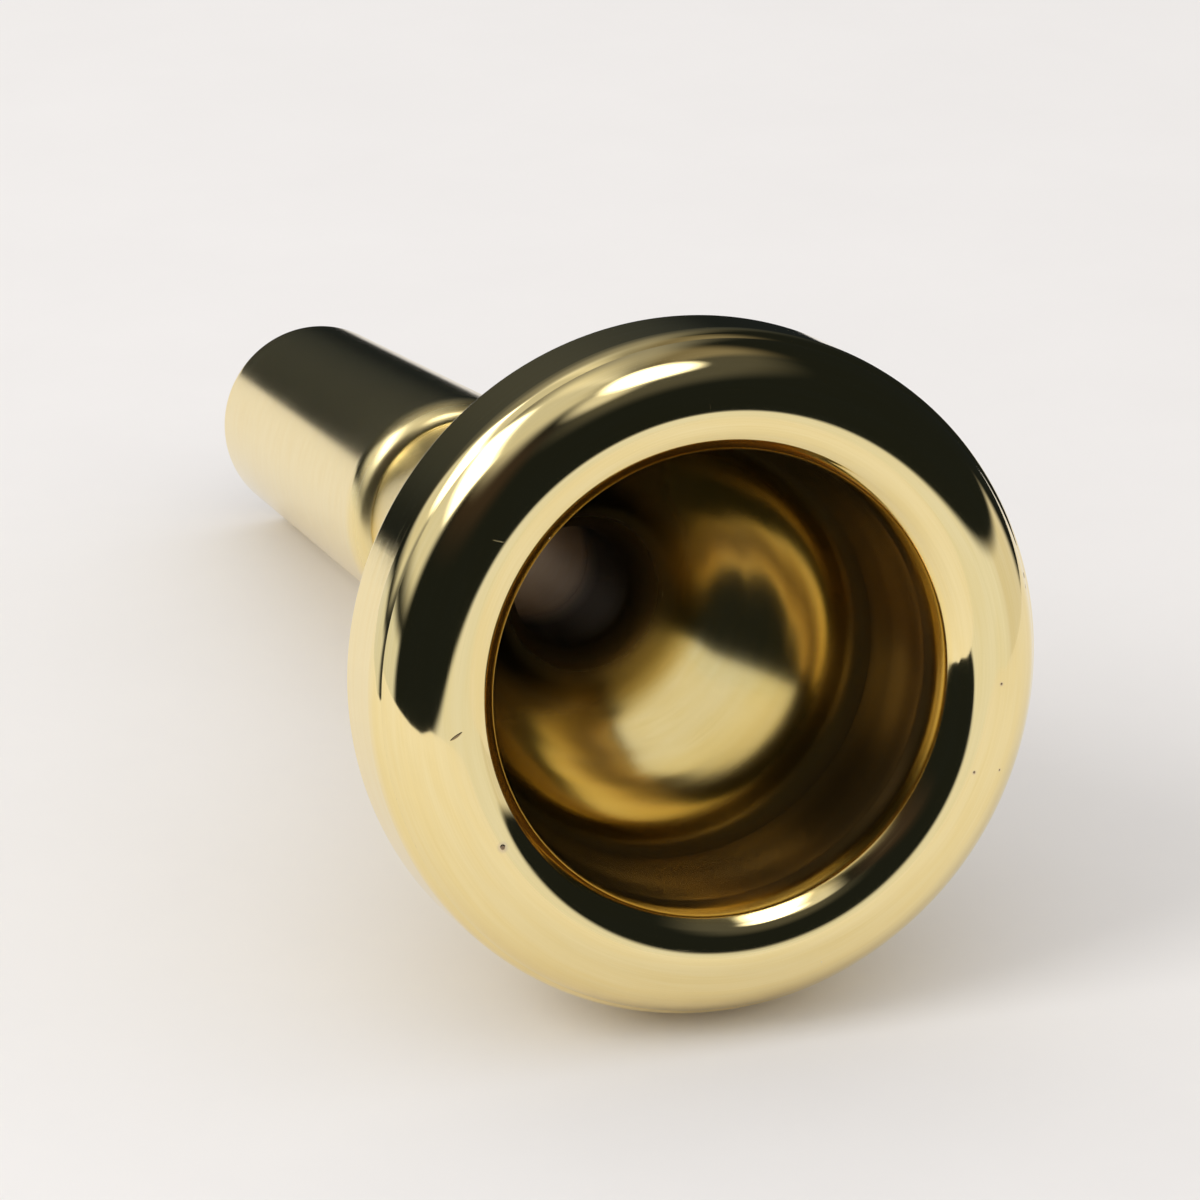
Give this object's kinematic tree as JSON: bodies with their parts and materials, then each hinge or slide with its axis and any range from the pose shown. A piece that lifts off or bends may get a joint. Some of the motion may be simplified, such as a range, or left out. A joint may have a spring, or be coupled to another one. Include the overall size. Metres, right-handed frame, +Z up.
{
  "type": "brass instrument mouthpiece",
  "caption": "Gold plated cup mouthpiece for low brass, with a round rim, deep bowl, tapered shank and screw joints behind the rim and at the neck.",
  "frame": {"origin": "centre of the footprint of the mouthpiece lying on its side, at the ground", "axes": "+Z up; the bore axis lies in the Y-Z plane, with the cup towards -Y and the shank towards +Y, and it dips 9.76 degrees towards the shank because the side wall and the shank's end both touch the ground"},
  "size_m": [0.0384, 0.0858, 0.0386],
  "materials": {
    "gold_plate": "mirror-polished gold plate over turned brass",
    "seal_rubber": "matte black nitrile"
  },
  "bodies": {
    "cup": {"cup": "gold_plate"},
    "rim_seal": {"rim_seal": "seal_rubber"},
    "rim": {"rim": "gold_plate"},
    "shank_seal": {"shank_seal": "seal_rubber"},
    "shank": {"shank": "gold_plate"}
  },
  "joints": [
    {"name": "rim_lift", "type": "slide", "parent": "cup", "child": "rim_seal", "axis": [0, -0.9855, 0.1694], "range_m": [0, 0.00375]},
    {"name": "rim_turn", "type": "hinge", "parent": "rim_seal", "child": "rim", "pos_m": [0, -0.04024, 0.0203], "axis": [0, -0.9855, 0.1694], "range_deg": [0, 1082]},
    {"name": "shank_lift", "type": "slide", "parent": "cup", "child": "shank_seal", "axis": [0, 0.9855, -0.1694], "range_m": [0, 0.003]},
    {"name": "shank_turn", "type": "hinge", "parent": "shank_seal", "child": "shank", "pos_m": [0, 0.04186, 0.00619], "axis": [0, 0.9855, -0.1694], "range_deg": [0, 1082]}
  ],
  "couplings": [
    {"joint": "rim_turn", "follows": "rim_lift", "rad_per_m": 5026.5},
    {"joint": "shank_turn", "follows": "shank_lift", "rad_per_m": 6283.2}
  ]
}
